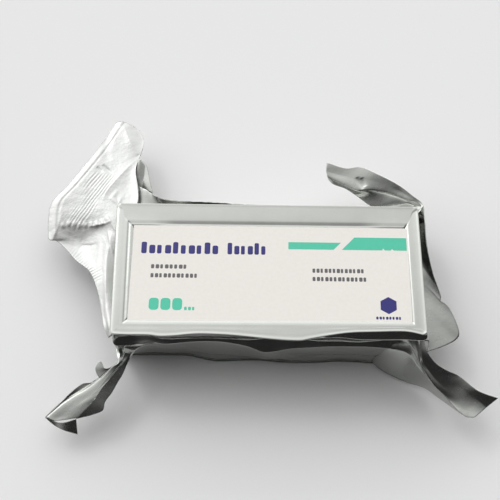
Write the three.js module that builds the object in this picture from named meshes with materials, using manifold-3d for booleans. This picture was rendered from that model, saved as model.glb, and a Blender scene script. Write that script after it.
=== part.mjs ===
// A vacuum-sealed foil pack: an aluminised pouch drawn tight over a flat plastic box of
// microscope slides, with a paper label in the recessed panel of its top face.
//
// Millimetres, +Z up. X runs along the box, -Y is the front, and the origin is the centre of the
// flat underside that the pack rests on.
//
// The pouch is two foil sheets sealed round their edge. Over the box they are one closed skin, with
// the seam as a low ridge round the walls. Past the walls the two sheets lie together: they stand
// out as a seal flap at each end, a fin along the back and a creased ear at each corner.

import * as THREE from "three";
import { mergeVertices } from "three/addons/utils/BufferGeometryUtils.js";
import Module from "manifold-3d";

// ---- Driving dimensions ----

const BOX_LENGTH = 68;
const BOX_DEPTH = 31;
const BOX_HEIGHT = 17;
const CORNER_RADIUS = 1.6; // upright corners
const EDGE_ROUND = 1; // top and bottom edges
const WAIST = 0.35; // how far the vacuum draws the walls in between their edges

const RIM_WIDTH_ENDS = 2.4; // flat rim round the recessed panel, at the box's two ends
const RIM_WIDTH_SIDES = 2.9; // and along its front and back
const PANEL_DEPTH = 0.25;
const PANEL_SLOPE = 0.3; // run of the small slope from the rim down to the panel

const LABEL_THICKNESS = 0.15;
const LABEL_GAP_LEFT = 0.95; // from the panel's edges to the label's
const LABEL_GAP_RIGHT = 0.2;
const LABEL_GAP_FRONT = 0.02; // at the corner that the turn brings nearest
const LABEL_GAP_BACK = 1.7;
const LABEL_TURN = THREE.MathUtils.degToRad(-0.5); // stuck on a little askew

const SEAM_PROUD = 0.8; // how far the seam's ridge stands out from the walls
const SEAM_SPREAD = 1.1; // height that the ridge takes up above and below its crest
const SHEET_THICKNESS = 0.4; // the two foils and their sealant, laid together
const ROOT_DEPTH = 1.4; // how far flaps and ears start inside the walls
const ROOT_FLARE = 0.5; // how far each foil has parted from the other where it meets a wall
const ROOT_FLARE_LENGTH = 1.2;

const STEPS_LONG_WALL = 34; // facets along the front and back walls
const STEPS_SHORT_WALL = 12;
const STEPS_CORNER = 4;

const HALF_LENGTH = BOX_LENGTH / 2;
const HALF_DEPTH = BOX_DEPTH / 2;
const PANEL_HEIGHT = BOX_HEIGHT - PANEL_DEPTH;

// ---- The box-shaped body ----

// Height of the seam's crest round the walls, as [share of half length, share of half depth, height].
// It dips in the middle of the front, where the foil is pinched between the box and its lid.
const SEAM_CREST = [
  [-1, -1, 12],
  [-0.78, -1, 13.6],
  [-0.35, -1, 14.2],
  [-0.2, -1, 13.2],
  [0, -1, 8.7],
  [0.15, -1, 10.5],
  [0.35, -1, 11.8],
  [0.7, -1, 11.6],
  [1, -1, 10.6],
  [1, 0, 9.6],
  [1, 1, 9.8],
  [0, 1, 7.5],
  [-1, 1, 9],
  [-1, 0, 7.5],
];

// How far the front wall stands proud where the foil bridges the box's own dents:
// [place along X, reach either way, distance].
const FRONT_SWELLS = [
  [-14, 8, -0.2],
  [4, 9, 1.2],
  [25, 9, -0.8],
];

// Smooth step from 0 to 1.
const ease = (t) => t * t * (3 - 2 * t);

// Turns round the box, from 0 to 1, of a place on its walls.
function turnsRound(x, y) {
  const turns = Math.atan2(y / HALF_DEPTH, x / HALF_LENGTH) / (2 * Math.PI);
  return (turns + 1) % 1;
}

const crestStations = SEAM_CREST.map(([x, y, z]) => [turnsRound(x * HALF_LENGTH, y * HALF_DEPTH), z]);
crestStations.sort((a, b) => a[0] - b[0]);

function seamHeight(x, y) {
  const turns = turnsRound(x, y);
  const count = crestStations.length;
  const next = crestStations.findIndex(([at]) => at > turns);
  const after = crestStations[next < 0 ? 0 : next];
  const before = crestStations[(next < 0 ? count : next + count) - 1 - (next > 0 ? count : 0)];
  const span = (after[0] - before[0] + 1) % 1;
  const gone = (turns - before[0] + 1) % 1;
  return THREE.MathUtils.lerp(before[1], after[1], ease(gone / span));
}

function frontSwell(x) {
  let proud = 0;
  for (const [at, reach, distance] of FRONT_SWELLS) {
    const away = Math.min(Math.abs(x - at) / reach, 1);
    proud += distance * ease(1 - away);
  }
  return proud;
}

// Outline of the box at a given inset from its full length and depth, anticlockwise from the
// front-left corner. Every outline has the same number of points, so that they can be joined up.
function outline(insetLength, insetDepth) {
  const halfLength = HALF_LENGTH - insetLength;
  const halfDepth = HALF_DEPTH - insetDepth;
  const radius = Math.max(CORNER_RADIUS - Math.max(insetLength, 0), 0.4);
  const corners = [
    [-1, -1, Math.PI, STEPS_LONG_WALL],
    [1, -1, Math.PI * 1.5, STEPS_SHORT_WALL],
    [1, 1, 0, STEPS_LONG_WALL],
    [-1, 1, Math.PI * 0.5, STEPS_SHORT_WALL],
  ];
  const points = [];
  corners.forEach(([sideX, sideY, startAngle, wallSteps], i) => {
    const centreX = sideX * (halfLength - radius);
    const centreY = sideY * (halfDepth - radius);
    for (let step = 0; step <= STEPS_CORNER; step++) {
      const angle = startAngle + (Math.PI / 2) * (step / STEPS_CORNER);
      points.push(new THREE.Vector2(centreX + radius * Math.cos(angle), centreY + radius * Math.sin(angle)));
    }
    const [nextX, nextY, nextAngle] = corners[(i + 1) % corners.length];
    const wallStart = points[points.length - 1];
    const wallEnd = new THREE.Vector2(
      nextX * (halfLength - radius) + radius * Math.cos(nextAngle),
      nextY * (halfDepth - radius) + radius * Math.sin(nextAngle),
    );
    for (let step = 1; step < wallSteps; step++) {
      points.push(wallStart.clone().lerp(wallEnd, step / wallSteps));
    }
  });
  return points;
}

// One ring of the body: an outline with a height for each of its points. swell is the share of the
// front wall's swelling that reaches this ring.
function ring(insetLength, insetDepth, heightAt, swell = 0) {
  return outline(insetLength, insetDepth).map(({ x, y }) => {
    const onFront = ease(THREE.MathUtils.clamp((-y / HALF_DEPTH - 0.8) / 0.2, 0, 1));
    return new THREE.Vector3(x, y - swell * onFront * frontSwell(x), heightAt(x, y));
  });
}

// Joins rings of equally many points into one closed skin, bottom first, with a flat cap at each end.
function skinOf(rings) {
  const count = rings[0].length;
  const positions = rings.flat().flatMap((p) => [p.x, p.y, p.z]);
  const faces = [];
  for (let level = 0; level + 1 < rings.length; level++) {
    for (let i = 0; i < count; i++) {
      const a = level * count + i;
      const b = level * count + ((i + 1) % count);
      faces.push(a, b, b + count, a, b + count, a + count);
    }
  }
  for (const [level, down] of [[0, true], [rings.length - 1, false]]) {
    const flat = rings[level].map((p) => new THREE.Vector2(p.x, p.y));
    for (const [a, b, c] of THREE.ShapeUtils.triangulateShape(flat, [])) {
      const start = level * count;
      faces.push(...(down ? [start + a, start + c, start + b] : [start + a, start + b, start + c]));
    }
  }
  return geometryOf(positions, faces);
}

function geometryOf(positions, faces) {
  const geometry = new THREE.BufferGeometry();
  geometry.setAttribute("position", new THREE.Float32BufferAttribute(positions, 3));
  geometry.setIndex(faces);
  return geometry;
}

function boxBody() {
  const at = (height) => () => height;
  const fromSeam = (offset) => (x, y) => seamHeight(x, y) + offset;
  const belowSeam = (share) => (x, y) => seamHeight(x, y) * share;
  const aboveSeam = (share) => (x, y) => THREE.MathUtils.lerp(seamHeight(x, y), BOX_HEIGHT, share);
  return skinOf([
    ring(EDGE_ROUND, EDGE_ROUND, at(0)),
    ring(EDGE_ROUND * 0.3, EDGE_ROUND * 0.3, at(EDGE_ROUND * 0.3)),
    ring(0, 0, at(EDGE_ROUND), 0.3),
    ring(WAIST, WAIST, belowSeam(0.5), 0.5),
    ring(WAIST * 0.3, WAIST * 0.3, fromSeam(-SEAM_SPREAD), 0.8),
    ring(-SEAM_PROUD, -SEAM_PROUD, fromSeam(0), 0.8),
    ring(WAIST * 0.3, WAIST * 0.3, fromSeam(SEAM_SPREAD), 0.9),
    ring(WAIST, WAIST, aboveSeam(0.55), 0.9),
    ring(0, 0, at(BOX_HEIGHT - EDGE_ROUND), 1),
    ring(EDGE_ROUND * 0.3, EDGE_ROUND * 0.3, at(BOX_HEIGHT - EDGE_ROUND * 0.3), 1),
    ring(EDGE_ROUND, EDGE_ROUND, at(BOX_HEIGHT), 0.8),
    ring(RIM_WIDTH_ENDS, RIM_WIDTH_SIDES, at(BOX_HEIGHT)),
    ring(RIM_WIDTH_ENDS + PANEL_SLOPE, RIM_WIDTH_SIDES + PANEL_SLOPE, at(PANEL_HEIGHT)),
  ]);
}

// ---- Foil sheets: flaps, fin and ears ----

// A sheet lofted through guide curves that all run the same way, out from the box. Guides are lists
// of points, each smoothed by itself, and the sheet crosses them in order. Low tension keeps a
// crease at each guide. Both faces part at the root edge, where the foils go over the walls.
function foilSheet(guides, { stepsAlong = 12, stepsBetween = 2, tension = 0.3, rootEdge = "start" }) {
  const curves = guides.map((points) => new THREE.CatmullRomCurve3(points));
  const stepsAcross = (guides.length - 1) * stepsBetween;
  const rows = [];
  for (let i = 0; i <= stepsAlong; i++) {
    const crossing = new THREE.CatmullRomCurve3(
      curves.map((curve) => curve.getPointAt(i / stepsAlong)),
      false,
      "catmullrom",
      tension,
    );
    rows.push(Array.from({ length: stepsAcross + 1 }, (_, j) => crossing.getPoint(j / stepsAcross)));
  }
  return thickSheet(rows, rootEdge);
}

// Normal of a grid of points at one of them, from its neighbours.
function gridNormal(rows, i, j) {
  const last = rows.length - 1;
  const lastAcross = rows[0].length - 1;
  const along = rows[Math.min(i + 1, last)][j].clone().sub(rows[Math.max(i - 1, 0)][j]);
  const across = rows[i][Math.min(j + 1, lastAcross)].clone().sub(rows[i][Math.max(j - 1, 0)]);
  return along.cross(across).normalize();
}

// Closes a grid of points into a thin solid: one face each way from it, and a strip round its edge.
function thickSheet(rows, rootEdge) {
  const down = rows.length;
  const wide = rows[0].length;
  const positions = [];
  const rootDistance = (i, j) => {
    const root = rootEdge === "start" ? rows[0][j] : rows[i][0];
    return rows[i][j].distanceTo(root);
  };
  for (const side of [1, -1]) {
    for (let i = 0; i < down; i++) {
      for (let j = 0; j < wide; j++) {
        const parted = ROOT_FLARE * Math.exp(-rootDistance(i, j) / (ROOT_DEPTH + ROOT_FLARE_LENGTH));
        const half = SHEET_THICKNESS / 2 + parted;
        const point = rows[i][j].clone().addScaledVector(gridNormal(rows, i, j), side * half);
        positions.push(point.x, point.y, point.z);
      }
    }
  }
  const faces = [];
  const below = down * wide;
  const quad = (a, b, c, d) => faces.push(a, b, c, a, c, d);
  for (let i = 0; i + 1 < down; i++) {
    for (let j = 0; j + 1 < wide; j++) {
      const a = i * wide + j;
      quad(a, a + wide, a + wide + 1, a + 1);
      quad(below + a, below + a + 1, below + a + wide + 1, below + a + wide);
    }
  }
  const border = [];
  for (let j = 0; j < wide - 1; j++) border.push(j);
  for (let i = 0; i < down - 1; i++) border.push(i * wide + wide - 1);
  for (let j = wide - 1; j > 0; j--) border.push((down - 1) * wide + j);
  for (let i = down - 1; i > 0; i--) border.push(i * wide);
  border.forEach((a, k) => {
    const b = border[(k + 1) % border.length];
    quad(a, b, below + b, below + a);
  });
  return geometryOf(positions, faces);
}

// Points given as [out along X, out along Y, height], measured from one of the box's upright corners
// or from the middle of a wall. signX and signY choose it: -1 is left or front, 1 right or back.
function from(signX, signY, points) {
  return points.map(
    ([x, y, z]) => new THREE.Vector3(signX * HALF_LENGTH + x, signY * HALF_DEPTH + y, z),
  );
}

// The wide seal flap at the left end. Its guides run from the front, where it rises to the box's
// upright corner, to the back, where it goes on past the box and ends in a rounded point.
function leftSealFlap() {
  const wallHalf = HALF_DEPTH - CORNER_RADIUS;
  const root = [
    ...from(-1, 0, [
      [ROOT_DEPTH, -wallHalf, 11],
      [ROOT_DEPTH, -7, 8.5],
      [ROOT_DEPTH, 0, 7.5],
      [ROOT_DEPTH, wallHalf, 9],
    ]),
    ...from(-1, 1, [
      [3.3, 4.5, 9.6],
      [3, 9.1, 9.2],
      [2.2, 13.9, 8.8],
      [2.9, 17.7, 8.6],
      [3.6, 21.8, 8.4],
      [2.2, 25.2, 8],
    ]),
  ];
  const crease = [
    ...from(-1, -1, [[-0.3, 1.2, 12.6], [-1.3, 4.8, 10.4]]),
    ...from(-1, 0, [[-2.3, -3.3, 9.4], [-3.1, 2.7, 9.2]]),
    ...from(-1, 1, [
      [-3.4, -6.4, 9.2],
      [-2.8, -2.3, 9.2],
      [-2, 4.1, 9],
      [-0.6, 9.3, 8.8],
      [0.3, 16.4, 8.6],
      [0, 27.2, 8],
    ]),
  ];
  const middle = [
    ...from(-1, -1, [[-0.5, 0.8, 13], [-1.9, 4.5, 10]]),
    ...from(-1, 0, [[-3.5, -4.7, 8.8], [-5.2, 2.2, 8.4]]),
    ...from(-1, 1, [
      [-7.9, -7.4, 8.4],
      [-10, -2.6, 8.3],
      [-9.3, 4, 8.4],
      [-7, 10.4, 8.5],
      [-4.2, 17.5, 8.5],
      [-1.9, 28.1, 8.2],
    ]),
  ];
  const outer = [
    ...from(-1, -1, [
      [-0.7, 0.3, 13.6],
      [-1.5, 1.8, 11.8],
      [-2.4, 4.1, 9.8],
      [-3.3, 8.2, 8.6],
      [-4.9, 14.4, 7.9],
    ]),
    ...from(-1, 1, [
      [-7.1, -12.2, 7.8],
      [-10.4, -9.4, 7.7],
      [-13.5, -6, 7.7],
      [-15.4, -4.6, 7.7],
      [-17.2, -4.3, 7.7],
      [-17.7, -2, 7.8],
      [-17.9, 1.5, 7.9],
      [-17.5, 5.4, 8.1],
      [-14.2, 9.8, 8.3],
      [-10.9, 14.7, 8.4],
      [-6.2, 22.5, 8.4],
      [-3.5, 27.9, 8.2],
    ]),
  ];
  return foilSheet([root, crease, middle, outer], { stepsAlong: 26, rootEdge: "side" });
}

// The narrow seal flap at the right end, which droops to the front.
function rightSealFlap() {
  const wallHalf = HALF_DEPTH - CORNER_RADIUS;
  const root = from(1, 0, [
    [-ROOT_DEPTH, wallHalf, 10],
    [-ROOT_DEPTH, 5, 9.6],
    [-ROOT_DEPTH, -1, 9.8],
    [-ROOT_DEPTH, -wallHalf, 9.8],
  ]);
  const fold = from(1, 0, [
    [1.3, 17.2, 11],
    [0.7, 7, 10.4],
    [1, 2.5, 10.2],
    [1.8, -2.7, 9.5],
    [2.4, -7.2, 9.3],
    [1.6, -14, 9.3],
  ]);
  const outer = from(1, 0, [
    [2.2, 18, 12.6],
    [2.1, 16, 13.6],
    [2.1, 9, 13.2],
    [2.6, 4.8, 12.4],
    [3.5, 1.6, 10.9],
    [5.2, -3.5, 9.3],
    [5, -4.5, 9.2],
    [6.4, -5.3, 9],
    [7.8, -7.8, 8.6],
    [8.8, -12, 8.2],
    [7.9, -13.3, 8.2],
    [5.6, -14.7, 8.6],
    [1.1, -16.5, 9.2],
  ]);
  return foilSheet([root, fold, outer], { stepsAlong: 20, stepsBetween: 3, rootEdge: "side" });
}

// The seam's fin along the back wall, folded up against it as high as the top edge.
function backFin() {
  const root = [
    ...from(-1, 1, [[8, -ROOT_DEPTH, 8.5]]),
    ...from(0, 1, [[-13, -ROOT_DEPTH, 8], [0, -ROOT_DEPTH, 7.5], [14, -ROOT_DEPTH, 7.8]]),
    ...from(1, 1, [[-4, -ROOT_DEPTH, 8]]),
  ];
  const fold = [
    ...from(-1, 1, [[7.5, 3.6, 10.5]]),
    ...from(0, 1, [[-13, 2.6, 9.6], [0, 2.2, 9.2], [14, 2, 9]]),
    ...from(1, 1, [[-4, 1.8, 9]]),
  ];
  const edge = [
    ...from(-1, 1, [[7.5, 3.6, 15.6], [11, 2.3, 15.8]]),
    ...from(0, 1, [[-15, 1.3, 16], [0, 1, 15.3], [7, 1, 14.6], [18, 1.2, 13]]),
    ...from(1, 1, [[-3, 1.8, 11]]),
  ];
  return foilSheet([root, fold, edge], { stepsAlong: 20, stepsBetween: 3, rootEdge: "side" });
}

// The upright gather at the back left, between the left flap and the fin.
function backLeftFold() {
  const left = from(-1, 1, [
    [3, -ROOT_DEPTH, 9.5],
    [3.3, 4.5, 9.6],
    [3, 9.1, 9.2],
    [2.4, 13.8, 8.8],
    [3.2, 17.7, 8.6],
  ]);
  const hollow = from(-1, 1, [
    [5, -ROOT_DEPTH, 9],
    [5.3, 4.9, 8.6],
    [4.2, 8.9, 8],
    [3.9, 12.2, 8],
    [4, 16.3, 8.4],
  ]);
  const right = from(-1, 1, [
    [8, -ROOT_DEPTH, 10],
    [8.1, 4.6, 12.5],
    [6.9, 6.9, 11],
    [5.9, 11.6, 9.8],
    [5, 15.5, 9],
  ]);
  return foilSheet([left, hollow, right], { stepsAlong: 8 });
}

// The ear at the back right corner: a broad roll that runs back to the left, and a web that drops
// from its lip towards the box.
function backRightEar() {
  const start = (z) => [-ROOT_DEPTH, -ROOT_DEPTH, z];
  const web = from(1, 1, [
    start(8),
    [-2.6, 3.1, 8.4],
    [-6.1, 3.4, 8.4],
    [-9.3, 4.6, 8.3],
    [-12.7, 7.3, 8.5],
    [-15.3, 9.1, 8.8],
    [-18.3, 10.7, 8.3],
    [-19.2, 11.7, 8.3],
  ]);
  const lip = from(1, 1, [
    start(11.8),
    [2, 2.8, 11.6],
    [-1.2, 4.9, 10.9],
    [-3.2, 6, 10.6],
    [-5.9, 7.2, 10.2],
    [-8.6, 7.9, 10],
    [-12.2, 8, 9.8],
    [-14.8, 9.3, 9.6],
    [-19.6, 12, 9.3],
  ]);
  const crown = from(1, 1, [
    start(11.9),
    [1.9, 3, 11.7],
    [-0.1, 5, 11.4],
    [-2.3, 7, 11.2],
    [-5, 8.4, 11],
    [-8.4, 10.2, 10.7],
    [-14.3, 11.6, 10.05],
    [-19.9, 13.6, 9.6],
  ]);
  const upper = from(1, 1, [
    start(12),
    [2.3, 3.1, 11.8],
    [-0.1, 5.8, 11.8],
    [-3.4, 8.7, 11.8],
    [-8.2, 11.9, 11.3],
    [-11.9, 13.9, 10.8],
    [-15.2, 13.8, 10.4],
    [-19.7, 15.5, 10.1],
  ]);
  return foilSheet([web, lip, crown, upper], { stepsAlong: 14 });
}

// The ear at the front right corner: a steep lower face, a pinched ridge down from the box's corner,
// and an upper face that slopes down along the ear and ends level.
function frontRightEar() {
  const start = (x, z) => [x, ROOT_DEPTH, z];
  const lower = from(1, -1, [
    start(-11, 2),
    [-9.5, -1.6, 1.9],
    [-7.7, -3, 1.5],
    [-5.1, -4.4, 1.4],
    [-2.5, -5.6, 1.5],
    [1.3, -7.1, 2.2],
    [4.1, -9.7, 3.2],
    [8, -13.6, 5.2],
  ]);
  const seam = from(1, -1, [
    start(-6.5, 10.9),
    [-4.4, -0.9, 10.9],
    [-2.9, -2.3, 10.7],
    [-1.7, -4.4, 10.5],
    [0.3, -6.8, 10.1],
    [1.9, -8.5, 9.3],
    [3.6, -10, 8.6],
    [5.3, -11.8, 8.1],
    [7.4, -14.3, 7.8],
  ]);
  const ridge = from(1, -1, [
    [-2.1, 0.6, 15.6],
    [-1.9, -0.8, 13.8],
    [-1.1, -4.7, 12.2],
    [0.2, -6.5, 10.9],
    [2.4, -9, 9.2],
    [3.8, -10.1, 8.5],
    [5.3, -11.5, 8],
    [8.7, -15.1, 7.6],
  ]);
  const trough = from(1, -1, [
    start(-ROOT_DEPTH, 13.4),
    [-0.7, -2.6, 12.4],
    [-0.2, -4.6, 11.3],
    [1.2, -6.2, 10.4],
    [2.7, -7.7, 9.5],
    [4.7, -9.3, 8.7],
    [6.9, -11.2, 8.1],
    [8.7, -13.3, 7.8],
    [10.5, -15.3, 7.75],
  ]);
  const slope = from(1, -1, [
    start(-1.1, 13.2),
    [-0.1, -2.4, 12.5],
    [2.1, -5.1, 10.9],
    [4.7, -6.6, 9.8],
    [7.1, -8.4, 8.8],
    [9.7, -10.1, 8.5],
    [11.5, -12.1, 8.2],
    [13.5, -14.2, 7.9],
  ]);
  const upper = from(1, -1, [
    start(-0.6, 13),
    [0.5, -2.1, 12.5],
    [2.4, -4.3, 11.3],
    [4.8, -5.6, 10.5],
    [7.5, -6.4, 9.3],
    [11.4, -9.5, 8.8],
    [13.4, -10.4, 8.65],
    [15.9, -11.2, 8.6],
  ]);
  return foilSheet([lower, seam, ridge, trough, slope, upper], { stepsAlong: 14 });
}

// The ear at the front left corner: a nearly level hollow face between two folds, with a sloping
// face beside it.
function frontLeftEar() {
  const start = (x, z) => [x, ROOT_DEPTH, z];
  const behind = from(-1, -1, [
    start(ROOT_DEPTH, 9.8),
    [0.8, -2.7, 9.8],
    [-0.6, -4.7, 8.6],
    [-3.1, -6.9, 7.7],
    [-5.1, -7.8, 7.2],
    [-6.8, -8, 7.05],
    [-9.4, -10.2, 6.9],
    [-11.9, -13.1, 6.7],
    [-14.3, -15.4, 6.4],
  ]);
  const rim = from(-1, -1, [
    start(ROOT_DEPTH, 10.2),
    [1.4, -3.1, 10.1],
    [-0.2, -5.3, 8.9],
    [-2.4, -7, 8],
    [-5.5, -9.3, 7.3],
    [-8.5, -11, 6.9],
    [-10.8, -12.7, 6.75],
    [-13.9, -15.5, 6.5],
  ]);
  const trough = from(-1, -1, [
    start(ROOT_DEPTH * 2, 10),
    [1.7, -3.1, 9.6],
    [0.8, -4.9, 9.3],
    [-1.3, -7.5, 8.15],
    [-3.7, -10, 7.4],
    [-6.1, -11.7, 6.9],
    [-10.8, -15.3, 6.65],
    [-12.3, -16.2, 6.5],
  ]);
  const ridge = from(-1, -1, [
    start(5, 11.6),
    [2.2, -3.8, 10],
    [1, -5.8, 9.5],
    [-0.7, -6.9, 9],
    [-2.6, -9.3, 8.1],
    [-4.8, -13.1, 7.3],
    [-7.6, -16, 7],
  ]);
  const lower = from(-1, -1, [
    start(5.5, 10.4),
    [3.7, -3, 10.3],
    [1.9, -6.7, 9.05],
    [0.5, -9.6, 8.15],
    [-1.6, -13, 7],
    [-1.9, -13.9, 6.5],
    [-4, -14.7, 6.5],
    [-7.4, -15.8, 6.4],
  ]);
  return foilSheet([behind, rim, trough, ridge, lower], { stepsAlong: 14 });
}

// The turned-down end of the front left ear.
function frontLeftTip() {
  const fold = from(-1, -1, [[-14.2, -15.4, 6.5], [-10.9, -16.8, 6.8], [-7.6, -16, 7]]);
  const edge = from(-1, -1, [
    [-14.3, -15.5, 6.4],
    [-12.6, -16.9, 6],
    [-10.5, -18, 5.2],
    [-7.4, -18.8, 4.7],
  ]);
  return foilSheet([fold, edge], { stepsAlong: 6, rootEdge: "none" });
}

// The small hooked tab that stands out behind the same ear.
function frontLeftTab() {
  const right = from(-1, -1, [
    [-0.5, -4.7, 8.7],
    [-1.3, -5, 8.75],
    [-2, -4.9, 8.8],
    [-2.3, -4.2, 8.9],
    [-2.8, -3.4, 9],
  ]);
  const left = from(-1, -1, [
    [-2.9, -7.1, 8.3],
    [-3.6, -6.1, 8.45],
    [-3.9, -5, 8.65],
    [-3.2, -3.4, 8.9],
  ]);
  return foilSheet([right, left], { stepsAlong: 6, rootEdge: "none" });
}

// ---- Solids and meshes ----

const wasm = await Module();
wasm.setup();

function solidFrom(geometry) {
  const plain = geometry.clone();
  plain.deleteAttribute("normal");
  plain.deleteAttribute("uv");
  const merged = mergeVertices(plain, 1e-4);
  return new wasm.Manifold(
    new wasm.Mesh({
      numProp: 3,
      vertProperties: merged.attributes.position.array,
      triVerts: new Uint32Array(merged.index.array),
    }),
  );
}

function geometryFrom(solid) {
  const mesh = solid.getMesh();
  const geometry = new THREE.BufferGeometry();
  geometry.setAttribute("position", new THREE.BufferAttribute(mesh.vertProperties, 3));
  geometry.setIndex(new THREE.BufferAttribute(mesh.triVerts, 1));
  geometry.computeVertexNormals();
  return geometry;
}

function namedMesh(name, geometry, material) {
  const mesh = new THREE.Mesh(geometry, material);
  mesh.name = name;
  return mesh;
}

const foil = new THREE.MeshStandardMaterial({ color: 0xc9cbc8, roughness: 0.28, metalness: 1 });
const paper = new THREE.MeshStandardMaterial({ color: 0xe8e4de, roughness: 0.6, metalness: 0 });

function foilPack() {
  const sheets = [
    leftSealFlap(),
    rightSealFlap(),
    backFin(),
    backLeftFold(),
    backRightEar(),
    frontRightEar(),
    frontLeftEar(),
    frontLeftTip(),
    frontLeftTab(),
  ];
  const solid = sheets.map(solidFrom).reduce((whole, sheet) => whole.add(sheet), solidFrom(boxBody()));
  return namedMesh("foil_pack", geometryFrom(solid), foil);
}

function label() {
  const panelLength = 2 * (HALF_LENGTH - RIM_WIDTH_ENDS - PANEL_SLOPE);
  const panelDepth = 2 * (HALF_DEPTH - RIM_WIDTH_SIDES - PANEL_SLOPE);
  const turnedCorner = HALF_LENGTH * Math.sin(Math.abs(LABEL_TURN));
  const sticker = new THREE.BoxGeometry(
    panelLength - LABEL_GAP_LEFT - LABEL_GAP_RIGHT,
    panelDepth - LABEL_GAP_FRONT - LABEL_GAP_BACK - 2 * turnedCorner,
    LABEL_THICKNESS,
  );
  sticker.translate(0, 0, LABEL_THICKNESS / 2);
  const mesh = namedMesh("label", sticker, paper);
  const centreX = (LABEL_GAP_LEFT - LABEL_GAP_RIGHT) / 2;
  const centreY = (LABEL_GAP_FRONT - LABEL_GAP_BACK) / 2;
  mesh.position.set(centreX, centreY, PANEL_HEIGHT);
  mesh.rotation.z = LABEL_TURN;
  return mesh;
}

const pack = new THREE.Group();
pack.add(foilPack(), label());

export default pack;
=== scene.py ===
"""A vacuum-sealed foil pack of microscope slides: its foil pouch, its label and a plain studio.

Shapes are worked out in millimetres in the frame's own axes, and a mesh is scaled to metres when it
is made. The pouch's body and each of its flaps, fins and ears is one dense grid of points.
"""

import math

import bpy
import numpy as np
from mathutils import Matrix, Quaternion, Vector


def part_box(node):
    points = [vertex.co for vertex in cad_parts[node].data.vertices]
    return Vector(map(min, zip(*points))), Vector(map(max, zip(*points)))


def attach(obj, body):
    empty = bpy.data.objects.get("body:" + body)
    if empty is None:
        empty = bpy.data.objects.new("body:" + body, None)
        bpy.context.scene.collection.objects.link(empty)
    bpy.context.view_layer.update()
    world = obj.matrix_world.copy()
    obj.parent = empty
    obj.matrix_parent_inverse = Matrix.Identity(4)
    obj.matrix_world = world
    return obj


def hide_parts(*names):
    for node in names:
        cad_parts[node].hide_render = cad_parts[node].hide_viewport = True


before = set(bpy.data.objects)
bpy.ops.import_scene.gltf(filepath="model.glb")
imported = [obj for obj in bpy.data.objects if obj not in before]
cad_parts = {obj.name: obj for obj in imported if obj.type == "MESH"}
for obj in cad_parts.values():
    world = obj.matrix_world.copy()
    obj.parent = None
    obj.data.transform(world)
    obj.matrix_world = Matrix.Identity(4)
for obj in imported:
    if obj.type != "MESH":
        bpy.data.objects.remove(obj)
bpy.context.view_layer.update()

MM = 0.001

# ---- Sizes, from the frame's label and the margins beside it ----

label_low, label_high = (np.array(corner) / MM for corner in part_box("label"))
LABEL_MARGIN = np.array([2.8039, 4.929])  # from the label's box to the pack's right end and its back
HALF_LENGTH, HALF_DEPTH = label_high[:2] + LABEL_MARGIN
PANEL_HEIGHT = label_low[2]
LABEL_TOP = label_high[2]
PANEL_DEPTH = 0.25
BOX_HEIGHT = PANEL_HEIGHT + PANEL_DEPTH
CORNER_RADIUS = 1.0
BACK_SKEW = np.array([-0.4, 0.55])  # how far the back left corner is pulled out
# The rim's width and the width of its slope down to the panel: left, right, front, back.
RIM = np.array([2.5, 2.5, 2.3, 4.1])
PANEL_SLOPE = np.array([0.85, 0.6, 0.9, 0.95])
FOIL = 0.13  # thickness that a flap shows at its edges
ROOT = 1.4  # how far a flap starts inside the wall
FLARE = 0.5  # how far its two foils have parted there, each from their middle
FLARE_LENGTH = 1.4  # how far past the wall a fifth of that is left

ANCHORS = {
    "front_left": (-HALF_LENGTH, -HALF_DEPTH, 0),
    "front_right": (HALF_LENGTH, -HALF_DEPTH, 0),
    "back_left": (-HALF_LENGTH, HALF_DEPTH, 0),
    "back_right": (HALF_LENGTH, HALF_DEPTH, 0),
    "left": (-HALF_LENGTH, 0, 0),
    "right": (HALF_LENGTH, 0, 0),
    "back": (0, HALF_DEPTH, 0),
}


def place(where, *points):
    """Points given as (out along X, out along Y, height) from a corner or a wall's middle."""
    return np.array(points, float) + ANCHORS[where]


# ---- Curves, noise and folds ----

CREASE = "crease"  # a sharp fold
ROLL = "roll"  # a rounded one


def smooth(t):
    """Eases from 0 to 1."""
    t = np.clip(t, 0, 1)
    return t * t * (3 - 2 * t)


def spline(points, steps, power=0.5):
    """Catmull-Rom curve through points along their first axis, with that many steps a span."""
    points = np.asarray(points, float)
    padded = np.concatenate([2 * points[:1] - points[1:2], points, 2 * points[-1:] - points[-2:-1]])
    knots = np.linalg.norm(np.diff(padded, axis=0), axis=-1, keepdims=True) ** power + 1e-6
    steps = [steps] * (len(points) - 1) if np.isscalar(steps) else steps
    rows = []
    for i, count in enumerate(steps):
        p0, p1, p2, p3 = padded[i : i + 4]
        t1 = knots[i]
        t2 = t1 + knots[i + 1]
        t3 = t2 + knots[i + 2]
        for share in np.arange(count) / count:
            t = t1 + (t2 - t1) * share
            a1 = p0 + (p1 - p0) * (t / t1)
            a2 = p1 + (p2 - p1) * ((t - t1) / (t2 - t1))
            a3 = p2 + (p3 - p2) * ((t - t2) / (t3 - t2))
            b1 = a1 + (a2 - a1) * (t / t2)
            b2 = a2 + (a3 - a2) * ((t - t1) / (t3 - t1))
            rows.append(b1 + (b2 - b1) * ((t - t1) / (t2 - t1)))
    rows.append(points[-1])
    return np.array(rows)


def even(points, count):
    """That many points at equal distances along the curve through points."""
    curve = spline(points, 24)
    travelled = np.concatenate([[0], np.cumsum(np.linalg.norm(np.diff(curve, axis=0), axis=1))])
    wanted = np.linspace(0, travelled[-1], count)
    return np.stack([np.interp(wanted, travelled, curve[:, axis]) for axis in range(3)], axis=1)


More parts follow.
